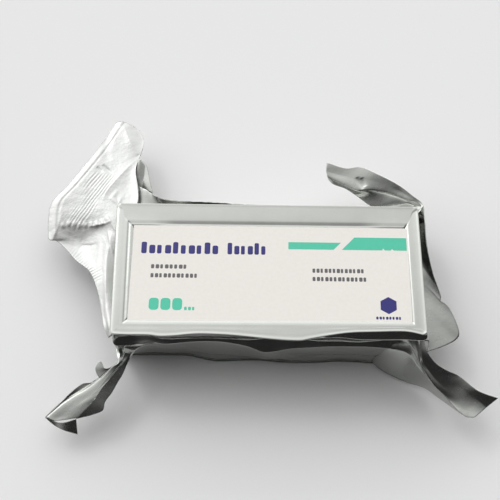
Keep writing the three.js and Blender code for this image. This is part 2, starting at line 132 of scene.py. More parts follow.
def noise(points, size, seed=0):
    """Smooth value noise from -1 to 1. size is the cell's, one number or one for each axis."""
    scaled = np.asarray(points, float) / size
    cell = np.floor(scaled).astype(np.int64)
    part = smooth(scaled - cell)
    total = 0
    for corner in np.ndindex(2, 2, 2):
        # A value from a hash of the cell's corner and the seed.
        x, y, z = (cell[..., axis] + corner[axis] for axis in range(3))
        mixed = (x * 73856093) ^ (y * 19349663) ^ (z * 83492791) ^ (seed * 2654435761)
        mixed = (mixed ^ (mixed >> 13)) * 1274126177 & 0x7FFFFFFF
        value = ((mixed ^ (mixed >> 16)) & 0xFFFF) / 32767.5 - 1
        weight = 1
        for axis in range(3):
            weight = weight * (part[..., axis] if corner[axis] else 1 - part[..., axis])
        total = total + value * weight
    return total


def nearest(points, path):
    """Distance from each point to a path, and how far along it the nearest place is, from 0 to 1."""
    path = np.asarray(path, float)
    axes = path.shape[1]
    points = points[..., :axes]
    lengths = np.linalg.norm(np.diff(path, axis=0), axis=1)
    best = np.full(points.shape[:-1], 1e9)
    along = np.zeros(points.shape[:-1])
    for i, length in enumerate(lengths):
        run = path[i + 1] - path[i]
        share = np.clip(((points - path[i]) @ run) / length**2, 0, 1)
        gap = np.linalg.norm(points - (path[i] + share[..., None] * run), axis=-1)
        closer = gap < best
        best = np.where(closer, gap, best)
        along = np.where(closer, (lengths[:i].sum() + share * length) / lengths.sum(), along)
    return best, along


def fold(points, kind, width, height, path, taper=0.5):
    """Height of a fold along a path, which dies out at both ends. kind is CREASE or ROLL."""
    gap, along = nearest(points, path)
    crest = np.exp(-gap / width) if kind == CREASE else np.exp(-((gap / width) ** 2))
    return height * crest * np.sin(math.pi * np.clip(along, 0.001, 0.999)) ** taper


def folds(points, table, origin=(0, 0)):
    """Heights of folds added up, from rows of (kind, width, height, path from the origin)."""
    return sum(fold(points, *row, np.array(path, float) + origin) for *row, path in table)


# ---- Meshes ----


def grid_normals(grid, closed=False):
    """Unit normals of a grid of points. closed: its second axis joins up with itself."""
    along = np.gradient(grid, axis=0)
    across = (np.roll(grid, -1, 1) - np.roll(grid, 1, 1)) if closed else np.gradient(grid, axis=1)
    normal = np.cross(along, across)
    return normal / (np.linalg.norm(normal, axis=-1, keepdims=True) + 1e-9)


def make_piece(name, points, faces, material, replaces):
    """A piece from points in millimetres, which takes the place of a node's own look."""
    mesh = bpy.data.meshes.new(name)
    mesh.from_pydata((np.asarray(points) * MM).tolist(), [], faces)
    mesh.validate()
    mesh.materials.append(material)
    mesh.shade_smooth()
    piece = bpy.data.objects.new(name, mesh)
    bpy.context.scene.collection.objects.link(piece)
    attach(piece, "root")
    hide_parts(replaces)
    return piece


def strip_faces(rows, columns, start=0, closed=False, turned=False):
    """Quads over a grid of rows x columns vertices."""
    faces = []
    for i in range(rows - 1):
        for j in range(columns if closed else columns - 1):
            a = start + i * columns + j
            b = start + i * columns + (j + 1) % columns
            quad = (a, a + columns, b + columns, b)
            faces.append(quad[::-1] if turned else quad)
    return faces


def thick_piece(name, grid, half, material, replaces):
    """Closes a grid of points into a thin solid, half its thickness either way."""
    rows, columns = grid.shape[:2]
    normal = grid_normals(grid)
    half = np.broadcast_to(half, grid.shape[:2])[..., None]
    skins = [grid + normal * half, grid - normal * half]
    points = np.concatenate([skin.reshape(-1, 3) for skin in skins])
    under = rows * columns
    faces = strip_faces(rows, columns) + strip_faces(rows, columns, under, turned=True)
    # Quads round the edge join the two skins.
    border = list(range(columns - 1))
    border += [i * columns + columns - 1 for i in range(rows - 1)]
    border += [(rows - 1) * columns + j for j in range(columns - 1, 0, -1)]
    border += [i * columns for i in range(rows - 1, 0, -1)]
    for k, a in enumerate(border):
        b = border[(k + 1) % len(border)]
        faces.append((a, b, under + b, under + a))
    return make_piece(name, points, faces, material, replaces)


def loft(guides, along, across, softness=1.0):
    """Grid of points through guides: along points on each, and across steps from one to the next.

    Its runs from guide to guide are straight with softness 0 and fully curved with 1.
    """
    lines = np.array([even(guide, along) for guide in guides])
    curved = spline(lines, across)
    straight = straight_runs(lines, across)
    return np.swapaxes(straight + (curved - straight) * softness, 0, 1)


def straight_runs(lines, steps):
    """Straight runs from each line of points to the next, with that many steps a run."""
    rows = []
    for a, b in zip(lines, lines[1:]):
        rows += [a + (b - a) * share for share in np.arange(steps) / steps]
    rows.append(lines[-1])
    return np.array(rows)


# ---- Materials ----


def nodes_of(owner):
    """The shader nodes and links of a material or a world."""
    owner.use_nodes = True
    return owner.node_tree.nodes, owner.node_tree.links


def bump_chain(nodes, links, coords, layers, target):
    """Layers of noise as bump, each (cell size in mm, height in mm)."""
    previous = None
    for size, height in layers:
        texture = nodes.new("ShaderNodeTexNoise")
        texture.inputs["Scale"].default_value = 1 / (size * MM)
        texture.inputs["Detail"].default_value = 3
        texture.inputs["Roughness"].default_value = 0.55
        links.new(coords, texture.inputs["Vector"])
        bump = nodes.new("ShaderNodeBump")
        bump.inputs["Strength"].default_value = 1
        bump.inputs["Distance"].default_value = height * MM
        links.new(texture.outputs["Fac"], bump.inputs["Height"])
        if previous:
            links.new(previous.outputs["Normal"], bump.inputs["Normal"])
        previous = bump
    links.new(previous.outputs["Normal"], target)


def mottled(name, colour, spread, cell, detail):
    """A material whose colour varies by a share either way, over noise with cells of a size in mm."""
    material = bpy.data.materials.new(name)
    nodes, links = nodes_of(material)
    coords = nodes.new("ShaderNodeTexCoord").outputs["Object"]
    patches = nodes.new("ShaderNodeTexNoise")
    patches.inputs["Scale"].default_value = 1 / (cell * MM)
    patches.inputs["Detail"].default_value = detail
    links.new(coords, patches.inputs["Vector"])
    tint = nodes.new("ShaderNodeMix")
    tint.data_type = "RGBA"
    tint.inputs["A"].default_value = (*(c * (1 - spread) for c in colour), 1)
    tint.inputs["B"].default_value = (*(min(c * (1 + spread), 1) for c in colour), 1)
    links.new(patches.outputs["Fac"], tint.inputs["Factor"])
    links.new(tint.outputs["Result"], nodes["Principled BSDF"].inputs["Base Color"])
    return material, nodes, links, coords, patches.outputs["Fac"]


def foil_material(name, base, roughness, layers):
    """Aluminised film: a bright metal with a fine crinkle and patches of duller and brighter skin."""
    material, nodes, links, coords, patches = mottled(name, base, 0.05, cell=4, detail=4)
    brightest = roughness - 0.05
    dullest = roughness + 0.07
    shader = nodes["Principled BSDF"]
    shader.inputs["Metallic"].default_value = 1
    dull = nodes.new("ShaderNodeMapRange")
    dull.inputs["To Min"].default_value = brightest
    dull.inputs["To Max"].default_value = dullest
    links.new(patches, dull.inputs["Value"])
    links.new(dull.outputs["Result"], shader.inputs["Roughness"])
    bump_chain(nodes, links, coords, layers, shader.inputs["Normal"])
    return material


def paper_material(name, colour, roughness):
    """Coated paper, or ink on it: fine fibres and a faint waviness."""
    material, nodes, links, coords, _ = mottled(name, colour, 0.04, cell=0.8, detail=5)
    shader = nodes["Principled BSDF"]
    shader.inputs["Roughness"].default_value = roughness
    bump_chain(nodes, links, coords, [(0.35, 0.006), (5, 0.03)], shader.inputs["Normal"])
    return material


def srgb(red, green, blue):
    """Linear colour of a display colour given from 0 to 255."""
    return tuple(((c / 255 + 0.055) / 1.055) ** 2.4 for c in (red, green, blue))


FOIL_BASE = srgb(166, 168, 164)
skin_foil = foil_material("pouch_foil", FOIL_BASE, 0.2, [(0.5, 0.003), (2.2, 0.012)])
flap_foil = foil_material("flap_foil", FOIL_BASE, 0.25, [(0.45, 0.006), (2, 0.03)])
seal_foil = foil_material("seal_foil", srgb(166, 167, 165), 0.4, [(0.5, 0.02), (1.6, 0.08)])
paper = paper_material("label_paper", srgb(235, 231, 225), 0.42)
green_ink = paper_material("green_ink", srgb(72, 197, 165), 0.4)
indigo_ink = paper_material("indigo_ink", srgb(22, 14, 112), 0.4)
grey_ink = paper_material("grey_ink", srgb(92, 90, 92), 0.45)


# ---- The pouch over the box ----

LONG_STEPS = 240
SHORT_STEPS = 100
CORNER_STEPS = 10
# The corners in order, as (side along X, side along Y, steps of the wall that follows).
CORNERS = [(-1, -1, LONG_STEPS), (1, -1, SHORT_STEPS), (1, 1, LONG_STEPS), (-1, 1, SHORT_STEPS)]


def outline(inset_x, inset_y):
    """Rounded rectangle, anticlockwise from the front left corner, as (points, outward normals)."""
    radius = max(CORNER_RADIUS - inset_x * 0.6, 0.35)
    reach = np.array([HALF_LENGTH - inset_x, HALF_DEPTH - inset_y]) - radius
    arcs = []
    for i, side in enumerate(CORNERS):
        angle = (2 + i) * math.pi / 2 + np.linspace(0, math.pi / 2, CORNER_STEPS + 1)
        out = np.stack([np.cos(angle), np.sin(angle)], axis=1)
        arcs.append((reach * side[:2] + radius * out, out))
    points = []
    normals = []
    for i, (arc, out) in enumerate(arcs):
        following = arcs[(i + 1) % len(arcs)][0]
        steps = CORNERS[i][2]
        share = np.arange(1, steps)[:, None] / steps
        points += [arc, arc[-1] + (following[0] - arc[-1]) * share]
        normals += [out, np.repeat(out[-1:], steps - 1, axis=0)]
    return np.concatenate(points), np.concatenate(normals)


# Height of the seam's crest on the end and back walls, from the front right corner round to the
# front left one, as (share of the half length, share of the half depth, height).
SEAM_CREST = [
    (1, -1, 10.6), (1, 0, 9.6), (1, 1, 9.8), (0, 1, 7.5), (-1, 1, 9), (-1, 0, 7.5), (-1, -1, 12),
]

# Along the front wall, as (place along X, value): the height of the seam's crest and how far it
# stands out, the width of the ledge over it, how far the top edge and the foot stand out, and the
# width of the roll under the top edge. The foil is pinched in the middle.
FRONT_CREST = [
    (-34, 11.7), (-31.5, 11.2), (-29.2, 11.3), (-25.8, 12.5), (-23.9, 12.7), (-19.2, 13.1),
    (-10.5, 13.3), (-7.3, 12.75), (-4, 11.2), (-1.3, 9.9), (0.9, 9.7), (4.8, 10.7), (9.1, 11.4),
    (13, 12.1), (22, 12), (27.6, 10.8), (34, 10.4),
]
FRONT_BELLY = [
    (-34, 0.75), (-31, 0.6), (-26, 0.2), (-22.5, 0.7), (-19, 0.5), (-15, 0.25), (-10.5, 0.3),
    (-7.3, 0.55), (-4, 0.8), (-1.3, 1.45), (0.9, 1.35), (4.8, 1), (16, 0.95), (34, 0.85),
]
FRONT_LEDGE = [
    (-34, 1.7), (-31, 1.8), (-28, 1.6), (-25.5, 1.1), (-22.5, 0.95), (-19, 0.75), (-10.5, 0.6),
    (-7.3, 0.85), (-4, 1.4), (-1.3, 2.5), (0.9, 2.4), (4.8, 1.8), (9.1, 1.4), (11.3, 1.1), (15.6, 1),
    (20, 0.85), (24, 1.3), (27.6, 2), (34, 1.9),
]
FRONT_TOP = [
    (-34, 0), (-31, 0.15), (-25.4, 0.2), (-23.7, 0.45), (-20.7, 0.37), (-16.8, -0.02), (-14.7, -0.12),
    (-10.4, 0), (-7.2, 0.2), (-4, 0.52), (2.4, 1.15), (5.5, 1.3), (7, 1.28), (8.8, 0.9), (13.1, 0.1),
    (17.4, -0.5), (22.8, -0.72), (29, -0.85), (30.4, -0.7), (31.6, -0.45), (33, -0.1), (34, 0),
]
FRONT_ROLL = [
    (-34, 0), (10, 0), (13.1, 0.4), (15.2, 0.6), (17.4, 1), (19.5, 1.3), (23, 1.4), (30, 1.4),
    (34, 0.8),
]
FRONT_FOOT = [
    (-34, -0.8), (-25, -0.9), (-18.6, -0.77), (-16, -0.3), (-14, 0.2), (-11.8, 0.5), (-7.7, 0.42),
    (-4.6, 0.29), (-0.5, 0.38), (3, 0.73), (10.8, 0.8), (16, 0.5), (21, 0.64), (25, 0.9), (34, 0.9),
]


def along_front(x, stations):
    """Values at places along X, on a smooth curve through (place, value) stations."""
    curve = spline(np.array(stations), 8)
    return np.interp(x, curve[:, 0], curve[:, 1])


def seam_height(xy):
    """Height of the seam's crest at places on the end and back walls."""
    stations = np.array(SEAM_CREST, float)
    turns = turns_round(stations[:, :2])
    here = turns_round(xy / [HALF_LENGTH, HALF_DEPTH])
    after = np.clip(np.searchsorted(turns, here), 1, len(turns) - 1)
    share = smooth((here - turns[after - 1]) / (turns[after] - turns[after - 1]))
    return stations[after - 1, 2] + (stations[after, 2] - stations[after - 1, 2]) * share


def turns_round(xy):
    """Turns about the middle, anticlockwise, that start at the front right corner with -1/8."""
    turns = np.arctan2(xy[:, 1], xy[:, 0]) / (2 * math.pi)
    return np.where(turns < -0.125 - 1e-6, turns + 1, turns)


def skewed(flat):
    """Plan points with the back left corner pulled out."""
    share = (1 - flat[:, :1] / HALF_LENGTH) / 2 * (1 + flat[:, 1:2] / HALF_DEPTH) / 2
    return flat + BACK_SKEW * share


def pouch_body():
    """One closed skin: the foot, the front's seam and ledge, the top edge, the rim and the panel."""
    top = BOX_HEIGHT
    base_points, base_normals = outline(0, 0)
    x = base_points[:, 0]
    front = smooth((-base_normals[:, 1] - 0.3) / 0.7)

    def on_front(stations, elsewhere):
        """Values along the front wall, eased at its corners to the value elsewhere."""
        return elsewhere + (along_front(x, stations) - elsewhere) * front

    crest = on_front(FRONT_CREST, seam_height(base_points))
    belly = on_front(FRONT_BELLY, 0.3)
    ledge = on_front(FRONT_LEDGE, 0.25)
    edge = on_front(FRONT_TOP, 0)
    roll = on_front(FRONT_ROLL, 0)
    foot = on_front(FRONT_FOOT, 0)
    # The front left corner leans in under the rim.
    from_corner = np.linalg.norm(base_points - ANCHORS["front_left"][:2], axis=1)
    lean = 0.3 * np.exp(-(from_corner / 3) ** 2)
    ledge_top = crest + 0.7 * ledge
    roll_foot = top - np.maximum(0.8 * roll, 0.35)

    def level(inset, height, out=0.0, inset_y=None):
        """A ring at a height, inset from the box's outline and then moved out."""
        points, normals = outline(inset, inset if inset_y is None else inset_y)
        flat = points + normals * np.broadcast_to(out, len(points))[:, None]
        height = np.broadcast_to(height, len(points))
        flat[:, 0] += lean * smooth((top - 2 - height) / 5)
        return np.column_stack([skewed(flat), height])

    # Share of each side in the skin's direction: left, right, front, back.
    facing_x, facing_y = base_normals.T
    sides = smooth(np.stack([-facing_x, facing_x, -facing_y, facing_y]))
    # Near its two corners the back rim sinks less.
    back_corners = 1 - 0.6 * smooth((np.abs(x) - 22) / 7) * sides[3]

    def upper(inset, rise, out=0.0):
        """A ring on the rim, with its rise over the box's height on each side."""
        return level(inset, top + sides.T @ np.array(rise, float), out)

    def ring(share, depths):
        """A ring on the panel's slope, that share of its width in, with its depth on each side."""
        left, right, near, back = RIM + PANEL_SLOPE * share
        depth = sides.T @ np.array(depths, float)
        if share < 2:
            depth = depth * back_corners
        grid = level((left + right) / 2, top - depth, 0, (near + back) / 2)
        grid[:, 0] += (left - right) / 2
        grid[:, 1] -= (back - near) / 2
        return grid

    # Each ring of the skin from the underside up and in to the panel, and the steps to the next.
    levels = [
        (level(6, 0.02), 2),
        (level(1.2, 0, foot), 3),
        (level(0.5, 0.03, foot), 3),
        (level(0.12, 0.12, foot), 4),
        (level(0.1, 0.5, foot - 0.35), 4),
        (level(0, 1.2, foot - 0.3), 7),
        (level(0, crest * 0.35, foot * 0.5 + belly * 0.4), 9),
        (level(0, crest * 0.7, foot * 0.15 + belly * 0.9), 7),
        (level(0, crest - 0.6, belly * 1.02), 4),
        (level(0, crest - 0.06, belly), 3),
        (level(0, crest, belly - 0.02), 3),
        (level(0, crest + 0.06, belly - 0.08), 4),
        (level(0, crest + 0.3 * (ledge_top - crest), belly - 0.35 * ledge), 4),
        (level(0, crest + 0.7 * (ledge_top - crest), belly - 0.72 * ledge), 4),
        (level(0, ledge_top, belly - ledge), 4),
        (level(0, ledge_top + 0.3, belly - ledge - 0.03), 6),
        (level(0, (ledge_top + roll_foot) / 2, (belly - ledge + edge + roll) / 2), 6),
        (level(0, roll_foot - 0.2, edge + roll - 0.03), 4),
        (level(0, roll_foot, edge + roll), 4),
        (level(0, (roll_foot + top) / 2, edge + roll * 0.55), 4),
        (level(0, top - 0.08, edge + roll * 0.08 + 0.02), 3),
        (upper(0.03, (-0.15, 0.15, 0.02, 0.11), edge), 4),
        (upper(0.2, (-0.08, 0.16, 0.045, 0.12), edge), 5),
        (upper(0.6, (-0.01, 0.06, 0.01, 0.09), edge * 0.9), 5),
        (upper(1.2, (0.01, 0, 0.01, 0.06), edge * 0.75), 6),
        (ring(-0.7, (0, 0, 0, 0.05)), 4),
        (ring(-0.05, (0, 0, 0, 0.09)), 3),
        (ring(0.12, (0.03, 0.02, 0.01, 0.11)), 4),
        (ring(0.4, (0.13, 0.09, 0.03, 0.16)), 4),
        (ring(0.88, (0.08, 0.23, 0.1, 0.25)), 3),
        (ring(1.05, (0.07, PANEL_DEPTH, 0.13, PANEL_DEPTH)), 4),
        (ring(2, [PANEL_DEPTH + 0.005] * 4), 2),
        (ring(4, [PANEL_DEPTH + 0.02] * 4), 0),
    ]
    grid = spline(np.array([points for points, _ in levels]), [steps for _, steps in levels[:-1]])
    normal = grid_normals(grid, closed=True)
    grid = grid - normal * body_lift(grid)[..., None]
    rows, columns = grid.shape[:2]
    faces = strip_faces(rows, columns, closed=True, turned=True)
    faces.append(tuple(range(columns))[::-1])
    faces.append(tuple((rows - 1) * columns + j for j in range(columns)))
    return make_piece("pouch_body", grid.reshape(-1, 3), faces, skin_foil, "foil_pack")


# Folds on the front wall, as (kind, width, height, path along X and up): two long dents low down, a
# pinch that runs down from the seam's dip, and a swelling under the rim.
FRONT_FOLDS = [
    (ROLL, 0.6, -0.3, [(-22, 4.6), (-12, 4), (-4, 2.4), (3, 2)]),
    (ROLL, 0.6, -0.28, [(5, 4), (12, 5.4), (20, 5.6), (27, 4.6)]),
    (ROLL, 0.9, 0.25, [(-1, 8.8), (3, 5), (6, 1.5)]),
    (ROLL, 0.9, 0.16, [(-30, 15), (-27, 15.2), (-24, 15)]),
]


def body_lift(grid):
    """How far the body's skin stands out from its smooth shape: wrinkles and pinches."""
    x, y, height = grid[..., 0], grid[..., 1], grid[..., 2]
    top = BOX_HEIGHT
    wall = smooth((height - 0.4) / 2) * smooth((top - 0.2 - height) / 1.2)
    upper = smooth((height - top + 0.9) / 0.6)
    front = smooth((-y - HALF_DEPTH + 2) / 1.2)
    lift = wall * 0.10 * noise(grid, (9, 9, 3), 1)
    lift += wall * 0.05 * noise(grid, (2.2, 4, 6), 2)
    lift += front * folds(grid[..., [0, 2]], FRONT_FOLDS)
    # The rim is drawn flat: long faint streaks along its front, short ones across it at the back.
    streaks = np.where(y < 0, noise(grid, (9, 0.55, 5), 5), noise(grid, (0.7, 5, 5), 6))
    ends = smooth(np.abs(x) - HALF_LENGTH + RIM[0] + 1)
    streaks = streaks + (noise(grid, (0.8, 9, 5), 7) - streaks) * ends
    return lift + upper * (0.02 * noise(grid, (6, 6, 5), 4) + 0.006 * streaks)


# ---- Flaps, fin and ears ----


def root_half(grid, rows=True):
    """Half thickness of a sheet, larger near the first row or column, where it leaves the wall."""
    root = grid[:1] if rows else grid[:, :1]
    away = np.linalg.norm(grid - root, axis=-1)
    return FOIL / 2 + FLARE * np.exp(-1.6 * away / (ROOT + FLARE_LENGTH))


def foil_sheet(name, guides, along, across, softness, lift=None, root_along=False, foil=flap_foil):
    """A foil sheet through guides. It leaves the wall at their starts, or all along the first one."""
    grid = loft(guides, along, across, softness)
    if lift is not None:
        grid = grid + grid_normals(grid) * lift(grid)[..., None]
    half = root_half(grid, rows=not root_along)
    return thick_piece(name, grid, half, foil, "foil_pack")


def left_flap():
    """The wide seal flap: from the left wall, and past it behind the box, out to its long edge."""
    wall = HALF_DEPTH - CORNER_RADIUS
    root = np.concatenate([
        place("left", (ROOT, -wall, 11), (ROOT, -7, 8.5), (ROOT, 0, 7.5), (ROOT, wall, 9)),
        place(
            "back_left", (3.3, 4.7, 9.2), (3, 9.2, 8.9), (2.2, 14, 8.6), (2.9, 17.9, 8.1),
            (3.6, 22.2, 7.7), (2.2, 25.5, 7.5),
        ),
    ])
    crease = np.concatenate([
        place("front_left", (-0.3, 1.2, 12.6), (-1.3, 4.8, 10.4)),
        place("left", (-2.3, -3.3, 9.4), (-3.1, 2.7, 9.2)),
        place(
            "back_left", (-3.4, -6.4, 9.2), (-2.8, -2.3, 9.2), (-2, 4.1, 9), (-0.6, 9.3, 8.8),
            (0.3, 16.4, 8.6), (0, 27.2, 8),
        ),
    ])
    middle = np.concatenate([
        place("front_left", (-0.5, 0.8, 13), (-1.9, 4.4, 10.2)),
        place("left", (-3.5, -4.9, 9.2), (-5.2, 2, 8.9)),
        place(
            "back_left", (-7.9, -7.4, 8.4), (-10, -2.6, 8.3), (-9.3, 4, 8.4), (-7, 10.4, 8.5),
            (-4.2, 17.5, 8.5), (-1.9, 28.1, 8.2),
        ),
    ])
    outer = np.concatenate([
        place(
            "front_left", (-0.7, 0.3, 13.6), (-1.5, 1.8, 11.8), (-2.4, 3.9, 10.2), (-3.3, 7.9, 9.3),
            (-4.9, 13.9, 8.9),
        ),
        place(
            "back_left", (-7.1, -12.6, 8.6), (-10.4, -9.7, 8.3), (-13.5, -6.2, 8), (-15.4, -4.6, 7.7),
            (-17.2, -4.3, 7.7), (-17.7, -2, 7.8), (-17.9, 1.5, 7.9), (-17.5, 5.4, 8.1),
            (-14.2, 9.8, 8.3), (-10.9, 14.7, 8.4), (-6.2, 22.5, 8.4), (-3.5, 27.9, 8.2),
        ),
    ])
    guides = [root, crease, middle, outer]
    return foil_sheet(
        "left_flap", guides, along=320, across=43, softness=1,
        lift=left_flap_lift, root_along=True, foil=seal_foil,
    )


# Paths in the plan, from the box's back left corner: the inner line of the left flap's sealed
# margin, its scalloped band, and the row of short ribs at its edge.
MARGIN = [(-17.5, 1), (-16.5, 6.5), (-12.4, 12), (-9, 17), (-6, 22), (-4, 25.5)]
SCALLOPS = [(-14.9, -0.8), (-12.6, -0.3), (-9.7, -0.8), (-7.9, -0.5), (-5.5, -0.3), (-3.2, 0.8)]
EDGE_RIBS = [(-13.4, -7.1), (-10.7, -8.6), (-7, -12.1), (-5.1, -15.6)]
# Its folds, as (kind, width, height, path), from the same corner.
LEFT_FLAP_FOLDS = [
    # a groove, a ridge and two wrinkles near the tip, and a ridge that runs down from it
    (ROLL, 1.1, -0.16, [(-4.7, 25.2), (-5.3, 22), (-5.5, 19), (-4.6, 16.5)]),
    (CREASE, 1.5, 0.3, [(-1.5, 26.9), (-0.3, 23.5), (1.1, 20.6), (2.5, 18.1)]),
    (CREASE, 1.2, 0.2, [(2.5, 17.2), (0.2, 14.4), (-2, 11.6), (-4.2, 8.3), (-5.2, 5.6)]),
    (ROLL, 0.45, -0.2, [(-5.9, 15.5), (-4.6, 14.1), (-3.6, 13)]),
    (ROLL, 0.45, -0.14, [(-7.3, 14.9), (-5.8, 13.3)]),
    # the bright fold under the scallops, the valley below it, its bank and the bulge beside it
    (CREASE, 0.5, 0.28, [(-8.3, -1.1), (-6, -0.8), (-4.1, -0.5), (-2.7, 0)]),
    (ROLL, 3.6, -0.75, [(-16, -3.2), (-12.9, -4), (-10, -4.3), (-7.3, -3.6), (-5, -2.6), (-2.4, -1.2)]),
    (ROLL, 5, -0.6, [(-14, -9.5), (-10, -8.5), (-7, -8), (-4.6, -7.2), (-2.4, -6.6)]),
    (ROLL, 0.9, 0.1, [(-16.7, -1.9), (-14.7, -3.5), (-12.7, -4.5), (-9.9, -5)]),
    # a crease and a groove along the box, a short wrinkle in the valley and a mound by the corner
    (CREASE, 0.6, 0.12, [(-2.4, -2.8), (-3.1, -10), (-2.8, -17.5), (-2.3, -24.8)]),
    (ROLL, 0.7, -0.1, [(-4.4, -4.9), (-4.4, -10.5), (-3.5, -17.5), (-2.6, -23.6)]),
    (ROLL, 0.35, -0.1, [(-9.8, -5.5), (-7.5, -5.8), (-5.9, -5.5)]),
    (ROLL, 0.5, 0.1, [(-1.7, 8.3), (-3, 6.2), (-1.4, 4.3), (-0.6, 6.7)]),
]
# The heat seal's fine ribs: where their patch's middle is, the direction along them, its half length
# and half width, and the distance from rib to rib.
RIBS_MIDDLE = np.array([-8.5, 6.5])
RIBS_ALONG = np.array([0.506, 0.863])
RIBS_ACROSS = np.array([0.863, -0.506])
RIBS_HALF_LENGTH = 9
RIBS_HALF_WIDTH = 3.6
RIB_PITCH = 0.72


def left_flap_lift(grid):
    """How far the left flap stands out from its smooth shape: its seal's ribs, folds and crumples."""
    corner = np.array(ANCHORS["back_left"][:2])
    lift = 0.12 * noise(grid, 8, 11) + 0.035 * noise(grid, 2.2, 12)
    lift += folds(grid, LEFT_FLAP_FOLDS, corner)
    # The sealed margin along the long edge hangs a little, inside a soft line.
    from_edge = np.linalg.norm(grid - grid[:, -1:], axis=-1)
    sealed = smooth(2 - nearest(grid, MARGIN + corner)[0] / 3)
    soft_line = np.exp(-(((from_edge - 2.3) / 0.4) ** 2))
    lift -= sealed * (0.22 * smooth(1 - from_edge / 2) + 0.06 * soft_line)
    # Fine ribs inside the margin, pleats along the scalloped band and short ribs at the edge.
    local = grid[..., :2] - RIBS_MIDDLE - corner
    along = local @ RIBS_ALONG
    across = local @ RIBS_ACROSS
    inside = smooth((RIBS_HALF_LENGTH - np.abs(along)) / 3)
    inside = inside * smooth((RIBS_HALF_WIDTH - np.abs(across)) / 1.2)
    phase = across / RIB_PITCH + 0.5 * noise(grid, 4, 13)
    patchy = smooth(0.5 + 0.9 * noise(grid, 3, 14))
    lift += inside * 0.03 * np.cos(2 * math.pi * phase) * patchy
    gap, run = nearest(grid, SCALLOPS + corner)
    lift += 0.13 * np.exp(-((gap / 0.7) ** 2)) * np.abs(np.sin(9 * math.pi * run))
    gap, run = nearest(grid, EDGE_RIBS + corner)
    fading = np.exp(-((gap / 1.6) ** 2)) * np.sin(math.pi * run) ** 0.3
    return lift + 0.04 * fading * np.sin(17 * 2 * math.pi * run)


def right_flap():
    """The narrow seal flap at the right end, which stands up at the back and sinks to the front."""
    wall = HALF_DEPTH - CORNER_RADIUS
    root = place("right", (-ROOT, wall, 10), (-ROOT, 5, 9.6), (-ROOT, -1, 9.8), (-ROOT, -wall, 9.8))
    crease = place(
        "right", (1.3, 17.2, 11), (0.7, 7, 10.4), (1, 2.5, 10.2), (1.8, -2.7, 9.5), (2.4, -7.2, 9.3),
        (1.6, -14, 9.3),
    )
    outer = place(
        "right", (2.2, 18, 12.6), (2.1, 16, 13.6), (2.1, 9, 13.2), (2.6, 4.8, 12.4), (3.5, 1.6, 10.9),
        (5.2, -3.5, 9.3), (5, -4.5, 9.2), (6.4, -5.3, 9), (7.8, -7.8, 8.6), (8.8, -12, 8.2),
        (7.9, -13.3, 8.2), (5.6, -14.7, 8.6), (1.1, -16.5, 9.2),
    )
    guides = [root, crease, outer]
    return foil_sheet("right_flap", guides, along=180, across=24, softness=0.7, root_along=True)


def back_fin():
    """The seam's fin behind the back wall. Its left end spreads out to the left flap."""
    root = place(
        "back", (-31, -ROOT, 7.6), (-28, -ROOT, 7.6), (-24, -ROOT, 8), (-13, -ROOT, 8), (0, -ROOT, 7.5),
        (14, -ROOT, 7.8), (30, -ROOT, 8),
    )
    crease = place(
        "back", (-31, 5.2, 7.7), (-29, 5, 7.9), (-26.3, 4.4, 8.3), (-24, 3.4, 8.7), (-20, 2.6, 9.2),
        (-13, 2.4, 9.6), (0, 2.2, 9.2), (14, 2, 9), (30, 1.8, 9),
    )
    edge = place(
        "back", (-30.8, 9.7, 8.3), (-29.1, 8.7, 8.6), (-27.8, 7.6, 8.9), (-26.3, 6.4, 9.5),
        (-24.3, 4.9, 10.8), (-21.8, 3.6, 12.6), (-19, 2.6, 14.2), (-15.7, 2, 15.2), (-10, 1.4, 15.6),
        (0, 1, 15.3), (7, 1, 14.6), (18, 1.2, 13), (31, 1.8, 11),
    )
    guides = [root, crease, edge]
    return foil_sheet(
        "back_fin", guides, along=260, across=20, softness=1, lift=back_fin_lift, root_along=True
    )


def back_fin_lift(grid):
    """The fin's edge is torn in fine teeth, and its face is a little uneven."""
    from_edge = np.linalg.norm(grid - grid[:, -1:], axis=-1)
    teeth = 0.12 * np.exp(-from_edge / 0.6) * noise(grid, (0.9, 4, 6), 41)
    return teeth + 0.05 * noise(grid, (2.5, 4, 5), 42)


def back_left_fold():
    """The roll beside the left flap: a hollow under the flap's edge, and a light fold right of it."""
    under = place(
        "back_left", (2, -ROOT, 7.1), (2.6, 5, 7.2), (2.6, 7.7, 7.2), (2.3, 10.3, 7.4),
        (1.9, 12.3, 7.9), (1.8, 14.2, 8.4), (2.7, 17.1, 9),
    )
    hollow = place(
        "back_left", (3, -ROOT, 7.1), (3.5, 5, 7.2), (3.3, 7.4, 7.2), (3, 9.8, 7.3), (3, 12.3, 7.95),
        (3, 14.2, 8.5), (3.1, 16.9, 9.2),
    )
    crease = place(
        "back_left", (5, -ROOT, 6.8), (5, 5, 6.8), (4.6, 7.3, 6.8), (3.9, 10.3, 7.5), (4.3, 12.9, 8.2),
        (4.4, 14.6, 8.7), (4.5, 15.2, 8.9),
    )
    right = place(
        "back_left", (7.2, -ROOT, 7.2), (7.1, 5, 7.4), (6.5, 8, 8), (5.9, 10.5, 8.4), (5.3, 13, 8.7),
        (4.9, 14.6, 8.9), (4.7, 15.3, 9),
    )
    guides = [under, hollow, crease, right]
    return foil_sheet("back_left_fold", guides, along=90, across=18, softness=0.3)


